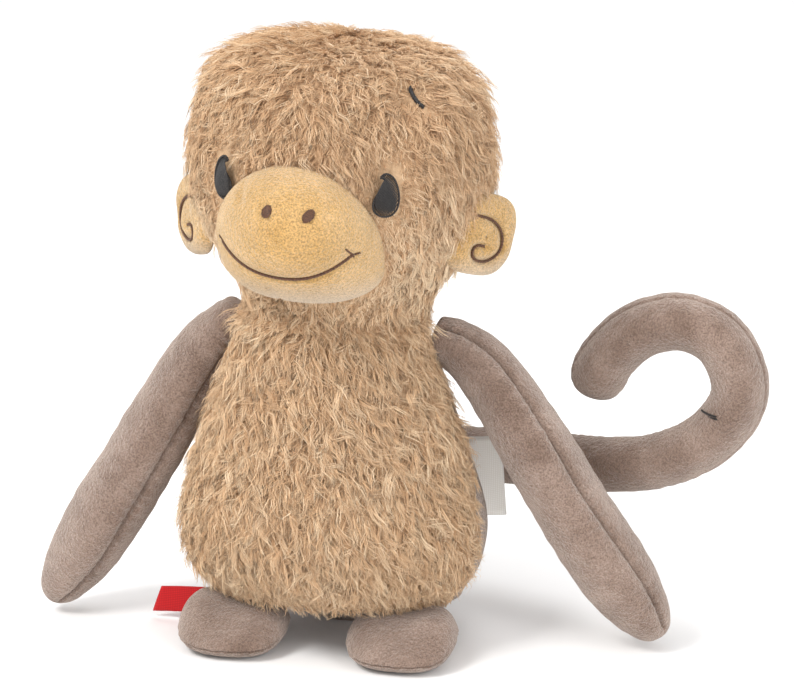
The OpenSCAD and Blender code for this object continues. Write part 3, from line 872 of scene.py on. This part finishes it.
# %% Tubes
def route_grid(route, stations, radius, rows, start, end, cols=36):
    """Rings along a route with rounded ends; stations pair a share of it with a share of the radius."""
    turn = np.linspace(0.06, math.pi / 2, 10)
    s = np.concatenate([start * (1 - np.cos(turn)), np.linspace(start, 1 - end, rows)[1:-1],
                        1 - end * (1 - np.sin(math.pi / 2 - turn[::-1]))])
    cap = np.concatenate([np.sin(turn), np.ones(rows - 2), np.sin(turn[::-1])])
    mid = spline(route, s)
    t = unit(np.gradient(spline(route, np.linspace(0, 1, 200)), axis=0))
    t = unit(np.stack([np.interp(s, np.linspace(0, 1, 200), t[:, k]) for k in range(3)], -1))
    y = np.array([0, 1.0, 0])
    u = unit(y - t * (t @ y)[:, None])
    v = np.cross(t, u)
    at, share = np.transpose(stations)
    r = spline(np.interp(np.linspace(0, 1, 9), at, share)[:, None], s)[:, 0] * radius * cap
    a = circle(cols)[None, :, None]
    return mid[:, None] + r[:, None, None] * (np.cos(a) * u[:, None] + np.sin(a) * v[:, None]), s, r


def half_turn(a):
    """Angles brought to between minus and plus half a turn."""
    return (a + math.pi) % (2 * math.pi) - math.pi


def sewn_tube(route, stations, radius, seams, rows, start, end, cap, seed, deep, gather=0.7, pitch=4.6):
    """A stuffed tube and what is inside it, with puckered seams at the given angles round it, in degrees."""
    p, s, r = route_grid(route, stations, radius, rows, start, end)
    a = circle(p.shape[1])
    pins = np.zeros(p.shape[:2])
    for seam in seams:
        pins[:, np.abs(half_turn(a - math.radians(seam))) < 0.1] = 0.9
    pins[:4], pins[-4:] = 1, 1
    out = grid_normals(p)
    inside = p[2:-2] - 3.6 * out[2:-2]
    calm = smooth(1 - s, 0.0, 0.14) * smooth(s, 0.0, 0.06)
    moved = stuffed(p, pins, 4.0, cap) - p
    print("the cloth swells by", round(float((moved * out).sum(-1).mean()), 2), "mm on average")
    for _ in range(2):
        moved[1:-1] = (moved[:-2] + 2 * moved[1:-1] + moved[2:]) / 4
    fine = finer(p + moved * calm[:, None, None])
    n, m = fine.shape[:2]
    a = circle(m)
    length = length_along(fine.mean(1))
    rr = np.interp(np.linspace(0, 1, n), np.linspace(0, 1, len(r)), r)
    ends = smooth(length, 0, 5) * smooth(length[-1] - length, 0, 4)
    out = 0.3 * waves(fine, 24, seed + 5) + 0.18 * waves(fine, 7, seed + 6)
    for i, seam in enumerate(seams):
        wander = math.radians(seam) + 0.05 * np.sin(length / 17 + seed + i)
        gap = half_turn(a[None] - wander[:, None]) * rr[:, None]
        beat = length / pitch * 2 * math.pi + 1.2 * np.sin(length / 9 + seed)
        strength = 0.75 + 0.5 * np.sin(length / 6.3 + 2 * seed)[:, None]
        pucker = (strength * np.sin(beat[:, None] + 0.9 * np.sign(gap)) * np.exp(-(np.abs(gap) / 3.2))
                  * (1 - np.exp(-(gap / 0.9) ** 2)))
        furrow = deep * np.exp(-(gap / 0.75) ** 2) + 0.45 * deep * np.exp(-(gap / 2.6) ** 2)
        out = out + ends[:, None] * (gather * pucker - furrow)
    return fine + out[..., None] * grid_normals(fine), inside


def finish_limb(limb, cloth, inside, panels):
    """The velour and the stuffing of a limb, which stand for its panels and its filling."""
    finish(skin(f"{limb}_cloth", cloth, on_trunk), TAUPE, limb, [f"{limb}_{p}" for p in panels])
    finish(skin(f"{limb}_stuffing", inside, on_trunk), WOOL, limb, [f"{limb}_filling"])


# %% Arms
ARM_ROUTES = {
    "left": [[-37.5, 5, 127.5], [-46, 5, 119.5], [-54.5, 4.5, 110], [-67.5, 1, 88], [-79.5, -3, 66],
             [-91.5, -6, 46], [-104, -8, 25], [-116.5, -10, 5.0]],
    "right": [[37.5, 5, 121.5], [47.5, 5.5, 118.5], [59, 5, 109.5], [74, 1.5, 90], [89.5, 1.5, 65],
              [105, 3, 41], [117.5, 5, 22], [129.5, 5, 6]]}
ARM_R = 15.0
ARM_STATIONS = [[0, 0.54], [0.12, 0.66], [0.3, 0.82], [0.5, 0.96], [0.7, 1.0], [0.85, 0.97], [1, 0.90]]
for name, seams, seed in (("left", [138, -42], 41), ("right", [131, -49], 47)):
    grid, inside = sewn_tube(ARM_ROUTES[name], ARM_STATIONS, ARM_R, seams, 40, 0.05, 0.24, 0.8, seed, 1.8)
    finish_limb(f"arm_{name}", grid, inside, ["outer", "inner"])

# %% Tail
TAIL_R, TAIL_ROUTE = 11.4, [
    [-2, 64.5, 55], [24, 64, 56], [51, 58, 58], [77, 49, 60.5], [101, 42, 63], [122, 40, 67],
    [142, 40, 78], [153, 40, 97], [146, 40, 117], [129.5, 40, 124.5], [112.5, 40, 119.5], [100, 40, 107],
    [94, 40, 91.5]]
grid, inside = sewn_tube(TAIL_ROUTE, [[0, 1], [1, 1]], TAIL_R, [-105, 75], 90, 0.035, 0.058, 0.6, 53, 1.0, 0.22)
finish_limb("tail", grid, inside, ["front_panel", "back_panel"])

# The tack stitch that holds its bend: two threads over the front of the tube
u = np.linspace(0, 1, 10)
parts = []
for lift in (0, 1.1):
    y = 40 - TAIL_R * np.sqrt(1 - (0.90 - 0.55 * u) ** 2) - 0.25
    parts += twisted(np.stack([139.0 + 6.5 * u + 0.5 * lift, y, 90.4 - 0.5 * u - lift], -1), 0.3, 1.8)
finish(join("tail_tack_thread", parts, on_trunk), DARK, "tail", ["tail_tack_stitch"])

# %% [markdown]
# ## Feet
# Low wedges whose flat top rises from the toes to the hem. A seam runs round them a little under
# halfway up. They are stuffed as the arms are, with the sole held down so that it stays flat.

# %% Feet
FOOT_W, FOOT_L, FOOT_X, FOOT_Y = 43.0, 40.0, 34, -29
FOOT_SEAM = -12  # degrees below the middle


def foot_grid(rows=34, cols=48):
    """A slab with a flat top that rises from the toes to the hem and falls away behind it."""
    a = circle(cols)[None]
    p = np.radians(np.linspace(-89, 89, rows))[:, None]
    q = np.maximum(np.cos(p), 0.0004) ** 0.34
    square = 1 / (np.abs(np.cos(a)) ** 2.5 + np.abs(np.sin(a)) ** 2.5) ** (1 / 2.5)
    x, y = FOOT_W / 2 * q * square * np.cos(a), FOOT_L / 2 * q * square * np.sin(a)
    h = 0.5 * (10.0 + 9.5 * smooth(y, -21, 1) + 2.0 * smooth(x, 0, 18) * smooth(y, -16, 0)
               - 7.5 * smooth(y, 8, 21))
    z = h * (1 + np.sign(p) * np.abs(np.sin(p)) ** 1.5)
    return np.stack([FOOT_X + x, FOOT_Y + y, z], -1)


for side, name in ((-1, "left"), (1, "right")):
    p = facing_out(foot_grid() * [side, 1, 1], side)
    rows = np.linspace(-89, 89, len(p))
    pins = np.zeros(p.shape[:2])
    pins[np.abs(rows - FOOT_SEAM) < 4] = 0.9
    pins[rows < -50] = 1
    inside = p - 2.2 * grid_normals(p)
    fine = finer(stuffed(p, pins, 3.0, 1.0))
    at = np.linspace(-89, 89, len(fine))[:, None]
    turn = np.arange(fine.shape[1])[None] / fine.shape[1] * 2 * math.pi
    gap = (at - FOOT_SEAM) * 0.13
    pucker = np.sin(turn * 26 + 2 * np.sin(turn * 3)) * np.exp(-np.abs(gap) / 2.4) * (1 - np.exp(-(gap / 0.7) ** 2))
    out = 0.3 * pucker - 1.0 * np.exp(-(gap / 0.7) ** 2) + 0.35 * waves(fine, 14, 60 + side) * (at > -30)
    fine = fine + out[..., None] * grid_normals(fine)
    fine[..., 2] = np.maximum(fine[..., 2], 0.05)
    finish_limb(f"foot_{name}", fine, inside[2:-2], ["top", "sole"])
    print(f"foot_{name}: {fine[..., 2].max():.1f} mm high")

# %% [markdown]
# ## Labels
# A white woven label stands out of the side seam, and a red tag out of the hem. They are thin
# ribbon, left blank, and each bends a little as ribbon does. A plain plane would vanish edge on,
# so a ribbon is a sheet with a real thickness.

# %% Labels
RIBBON_T = 0.45


def ribbon(name, corners, bend, n=14):
    """A blank ribbon between four corners, bent by bend mm across its middle."""
    a, b, c, d = (np.asarray(k, float) for k in corners)
    u, v = np.meshgrid(np.linspace(0, 1, n), np.linspace(0, 1, n))
    u, v = u[..., None], v[..., None]
    p = (a * (1 - u) + b * u) * (1 - v) + (d * (1 - u) + c * u) * v
    normal = unit(np.cross(b - a, d - a))
    p = p + normal * (bend * np.sin(u * math.pi) + 0.4 * bend * np.sin(v * 5 + u * 2))
    return two_layers(name, p + normal * RIBBON_T / 2, p - normal * RIBBON_T / 2, on_trunk)


c, s = math.cos(math.radians(34)), math.sin(math.radians(34))
low = np.array([52.6, 8.0, 49.0])  # the label's lower corner in the seam
side_label = ribbon("side_label_ribbon", [low, low + [15 * c, 15 * s, -1.6], low + [13 * c, 13 * s, 31.5],
                                          low + [-1, 0, 32]], 0.8)
finish(side_label, WHITE, "side_label", ["side_label"])
seat_tag = ribbon("seat_tag_ribbon", [[-52, -6, 4.0], [-52, -6, 14.5], [-71, -6.5, 13.5], [-75, -6.5, 2.5]], 0.5)
finish(seat_tag, RED, "trunk", ["seat_tag"])
print("ribbons: a side label of 15 x 32 mm and a seat tag of 11 x 22 mm")

# %% [markdown]
# ## The pile
# Each strand is a thin closed spike: three rings and a tip in the undercoat, and four and a tip in
# the long coat over it. Strands are gathered in locks: every lock has its own route, and its
# strands start where they grow and close up towards its tip. The pile is combed downwards, parts
# round the dart, and is short where the cloth meets the muzzle and the eyes.

# %% Strands
rng = np.random.default_rng(7)


def sample(grid, count, closed, keep):
    """Random places on a grid, spread evenly by area: points, normals and the grid's area."""
    nxt = np.roll(grid, -1, 1) if closed else grid[:, 1:]
    grid = grid if closed else grid[:, :-1]
    a, b, c, d = grid[:-1], nxt[:-1], nxt[1:], grid[1:]
    area = np.linalg.norm(np.cross(c - a, d - b), axis=-1).ravel() / 2
    if keep is not None:
        area = area * keep(((a + b + c + d) / 4).reshape(-1, 3))
    cell = rng.choice(len(area), size=count, p=area / area.sum())
    u, v = rng.random((2, count, 1))
    a, b, c, d = (q.reshape(-1, 3)[cell] for q in (a, b, c, d))
    p = (a * (1 - u) + b * u) * (1 - v) + (d * (1 - u) + c * u) * v
    return p, unit(np.cross(c - a, d - b)), float(area.sum())


def comb_head(p, n):
    """Which way the pile lies on the head."""
    way = np.zeros_like(p)
    way[:, 2] = -1
    top = smooth(p[:, 2], 216, 238)[:, None]
    way = way * (1 - 0.7 * top) + top * unit((p - [0, 26, 0]) * [1, 1, 0])
    way[:, 0] += 0.010 * p[:, 0] - 0.12 + 0.30 * waves(p, 26, 71)
    way[:, 1] += 0.25 * waves(p, 30, 72) - 0.004 * p[:, 1]
    off = p - DART
    way += 1.7 * unit(off) * np.exp(-(np.linalg.norm(off, axis=1) / 12) ** 2)[:, None]
    for x, z in EYES.values():
        off = p - [x, face_y(x, z), z]
        way += 0.8 * unit(off) * np.exp(-(np.linalg.norm(off, axis=1) / 9) ** 2)[:, None]
    return unit(way - n * (way * n).sum(1, keepdims=True))


def comb_trunk(p, n):
    """Which way the pile lies on the trunk and the neck."""
    way = np.zeros_like(p)
    way[:, 2] = -1
    way[:, 0] += 0.006 * p[:, 0] + 0.30 * waves(p, 24, 81)
    way[:, 1] += 0.2 * waves(p, 28, 82)
    return unit(way - n * (way * n).sum(1, keepdims=True))


def muzzle_q(p):
    """How far a place is from the muzzle: 1 on its outline, and more outside it."""
    q = muzzle_share(p[:, 0], p[:, 2])
    return np.where(p[:, 1] < -5, q, 9.0)


def eye_q(p):
    """The same from the nearer eye."""
    q = np.full(len(p), 9.0)
    for x, z in EYES.values():
        away = np.hypot((p[:, 0] - x) / 4.6, (p[:, 2] - z - 2.5) / 10.4)
        q = np.minimum(q, np.where(p[:, 1] < 0, away, 9.0))
    return q


def head_keep(p):
    """Where pile grows on the head."""
    return (muzzle_q(p) > 0.985) & (eye_q(p) > 0.95)


def head_length(p):
    """How long the pile stands, as a share of its full length."""
    short = 0.42 + 0.58 * smooth(muzzle_q(p), 1.0, 1.28)
    short = short * (0.3 + 0.7 * smooth(eye_q(p), 0.95, 2.7))
    return short * (0.55 + 0.45 * smooth(np.linalg.norm(p - DART, axis=1), 2, 10))


def trunk_length(p):
    """Full in the middle, short at the hem and where the side seams show the back panel."""
    from_seam = -p[:, 1] / TRUNK_FRONT + 0.35 * smooth(p[:, 2], 60, 95)
    return (0.45 + 0.55 * smooth(p[:, 2], 21, 42)) * (0.38 + 0.62 * smooth(from_seam, 0.05, 0.42))


STRAY = 1.6  # how far a strand's tip may stray from its lock


def strands(roots, normals, comb, length, full, steps, gather, width, lift, wave):
    """Points of each strand at the given shares of its length, with its radius and shade."""
    count = len(roots)
    lock_count = max(int(count / gather), 8)
    pick = rng.choice(count, lock_count, replace=False)
    lock_root, lock_n = roots[pick], normals[pick]
    lock_way = comb(lock_root, lock_n)
    side = np.cross(lock_n, lock_way)
    turn = rng.normal(0, 0.42, (lock_count, 1))
    lock_way = unit(lock_way * np.cos(turn) + side * np.sin(turn))
    side = np.cross(lock_n, lock_way)
    phase = rng.uniform(0, 6.28, (lock_count, 1))
    swing = rng.uniform(0.35, 1.0, (lock_count, 1)) * wave
    lock_len = full * length(lock_root)[:, None] * rng.uniform(0.75, 1.2, (lock_count, 1))
    raised = np.radians(lift) * rng.uniform(0.4, 1.5, (lock_count, 1))
    here = np.zeros_like(lock_root)
    path = [here]
    for t0, t1 in zip(steps[:-1], steps[1:]):
        t = (t0 + t1) / 2
        angle = raised * (1 - 1.1 * t)
        way = lock_way * np.cos(angle) + lock_n * (np.sin(angle) + 0.3 * swing * np.cos(phase + 6.2 * t))
        here = here + unit(way + side * swing * np.sin(phase + 6.2 * t)) * lock_len * (t1 - t0)
        path.append(here)
    path = np.stack(path, 1)

    tree = KDTree(lock_count)
    for i, q in enumerate(lock_root):
        tree.insert(Vector(q), i)
    tree.balance()
    mine = np.array([tree.find(Vector(q))[1] for q in roots])
    to_lock = length(roots) / np.maximum(length(lock_root)[mine], 0.05)
    own_len = (0.7 + 0.5 * rng.random((count, 1))) * to_lock[:, None]
    pull = rng.uniform(0.05, 0.85, (count, 1))
    loose = unit(rng.normal(size=(count, 3))) * rng.random((count, 1)) ** 2 * STRAY
    out = np.empty((count, len(steps), 3))
    for j, t in enumerate(steps):
        out[:, j] = roots + (path[mine, j] + loose * t**1.5) * own_len + (lock_root[mine] - roots) * pull * t**1.3
    out[:, 0] -= normals * 0.35
    radius = width * rng.uniform(0.75, 1.3, count)
    shade = (0.46 + 0.11 * rng.normal(size=count) + 0.17 * rng.normal(size=lock_count)[mine]
             + 0.4 * (rng.random(count) > 0.9))
    return out, radius, shade


def strand_mesh(name, nodes, radius, shade, steps, place, body):
    """Closed three-sided spikes, with the shade and the place along the strand as their coordinates."""
    count, k = len(nodes), len(steps) - 1
    t = unit(np.gradient(nodes, axis=1))
    u = unit(np.cross(t, np.array([0.31, 0.2, 0.93])))
    v = np.cross(t, u)
    a = circle(3)
    taper = 1 - 0.55 * np.array(steps[:k]) ** 1.5
    rings = nodes[:, :k, None] + (radius[:, None] * taper)[..., None, None] * (
        np.cos(a)[:, None] * u[:, :k, None] + np.sin(a)[:, None] * v[:, :k, None])
    verts = np.concatenate([rings.reshape(count, 3 * k, 3), nodes[:, k:]], 1)
    faces = []
    for i in range(k - 1):
        for j in range(3):
            p, q = i * 3 + j, i * 3 + (j + 1) % 3
            faces += [[p, q, q + 3], [p, q + 3, p + 3]]
    faces += [[3 * k - 3 + j, 3 * k - 3 + (j + 1) % 3, 3 * k] for j in range(3)] + [[2, 1, 0]]
    faces = (np.array(faces)[None] + (np.arange(count) * (3 * k + 1))[:, None, None]).reshape(-1, 3)
    along = np.repeat(steps, [3] * k + [1])
    uv = np.stack([np.repeat(np.clip(shade, 0.02, 0.98), 3 * k + 1),
                   np.tile(np.clip(along, 0.02, 0.98), count)], -1)
    obj = mesh(name, verts, [faces], place, uv)
    finish(obj, PILE, body)
    return len(faces)


# %% Two coats
# Each coat's share of the full length, the places of its rings, its tone, and its locks: strands
# in one, their radius, how many degrees a lock is raised, and how much it waves
COATS = {
    "under": (0.62, [0.0, 0.4, 0.75, 1.0], -0.10, dict(gather=5, width=0.165, lift=34.0, wave=0.9)),
    "over": (1.0, [0.0, 0.25, 0.5, 0.76, 1.0], 0.12, dict(gather=7, width=0.115, lift=32.0, wave=1.35))}


def head_tone_and_light(p):
    """The head's pile is darker on the crown, paler down the cheeks, partly its own tone and partly painted light, and
    darker again under them, painted shade below the muzzle.
    """
    down = -p[:, 2]
    return 0.44 * smooth(down, -205, -160) - 0.36 * smooth(down, -155, -130) - 0.12


def grow(name, grid, closed, keep, comb, length, counts, place, body, pieces, full, tone_and_light_at=None):
    """An undercoat that is short and dense, and long wavy locks over it, as a few pieces of each."""
    triangles = 0
    for (coat, (share, steps, tone, locks)), count in zip(COATS.items(), counts):
        roots, normals, area = sample(grid, count, closed, keep)
        nodes, radius, shade = strands(roots, normals, comb, length, full * share, steps, **locks)
        # On the head this adds the pile's own tone, painted light on the cheeks and painted shade below the muzzle
        shade = shade + tone + (tone_and_light_at(roots) if tone_and_light_at else 0.0)
        order = np.argsort(roots[:, 1] * 0.5 + roots[:, 0])
        for i, part in enumerate(np.array_split(order, pieces)):
            triangles += strand_mesh(f"{name}_{coat}_{i + 1}", nodes[part], radius[part], shade[part], steps,
                                     place, body)
        print(f"{name} {coat}: {count} strands on {area / 100:.0f} square cm")
    print(f"{name}: {triangles} triangles")


# %% Growing the pile
grow("head_pile", head_skin, True, head_keep, comb_head, head_length, (32000, 30000), on_head, "head", 4, 12.5,
     head_tone_and_light)
grow("trunk_pile", front_grid, False, None, comb_trunk, trunk_length, (21000, 20000), on_trunk, "trunk", 3, 14.0)
grow("neck_pile", neck_grid, True, None, comb_trunk, lambda p: np.full(len(p), 0.7), (2500, 2500), on_trunk,
     "neck", 1, 12.0)

# %% [markdown]
# ## What is inside
# Nobody sees the rest of the stuffing or the pouch of beads, so they stay as the CAD model has
# them, and only get their own materials.

# %% Fillings
for name, node in frame["nodes"].items():
    if "filling" in name or "padding" in name:
        cover(node, WOOL)
    if name == "bead_pouch":
        cover(node, BEADS)

# %% [markdown]
# ## Stage and camera
# A pale floor, a big soft light on the left and above, a weaker one on the right, and a pale
# surround. The camera looks down a little from the front right.

# %% Stage
floor_mesh = bpy.data.meshes.new("floor")
floor_mesh.from_pydata([(-3, -3, 0), (3, -3, 0), (3, 3, 0), (-3, 3, 0)], [], [(0, 1, 2, 3)])
floor = bpy.data.objects.new("floor", floor_mesh)
bpy.context.scene.collection.objects.link(floor)
paper = Look("floor paper", 0.9)
paper.set("Base Color", (0.93, 0.93, 0.93, 1))
floor_mesh.materials.append(paper.mat)


def looking(place, target):
    """The turn that points a lamp or a camera at place towards target."""
    return (Vector(target) - Vector(place)).to_track_quat("-Z", "Y").to_euler()


def softbox(name, place, target, size, power, colour=(1, 1, 1)):
    light = bpy.data.lights.new(name, "AREA")
    light.shape, light.size, light.energy, light.color = "DISK", size, power, colour
    obj = bpy.data.objects.new(name, light)
    obj.location = place
    obj.rotation_euler = looking(place, target)
    bpy.context.scene.collection.objects.link(obj)


softbox("key", (-0.55, -0.75, 1.05), (0, 0, 0.12), 0.55, 11.5, (1, 0.99, 0.97))
softbox("fill", (0.95, -0.6, 0.55), (0, 0, 0.12), 0.8, 4.6)
softbox("top", (0.1, 0.35, 1.2), (0, 0, 0.15), 0.7, 4.0)
world = bpy.data.worlds.new("surround")
world.use_nodes = True
world.node_tree.nodes["Background"].inputs["Color"].default_value = (1, 1, 1, 1)
world.node_tree.nodes["Background"].inputs["Strength"].default_value = 0.95
bpy.context.scene.world = world
bpy.context.scene.view_settings.view_transform = "Standard"

# %% Camera
camera_data = bpy.data.cameras.new("camera")
camera_data.lens, camera_data.sensor_width = 151.13, 36
camera = bpy.data.objects.new("camera", camera_data)
camera.location = (0.32523, -1.23044, 0.47295)
camera.rotation_euler = looking(camera.location, (0.02291, -0.01792, 0.11462))
bpy.context.scene.collection.objects.link(camera)
bpy.context.scene.camera = camera
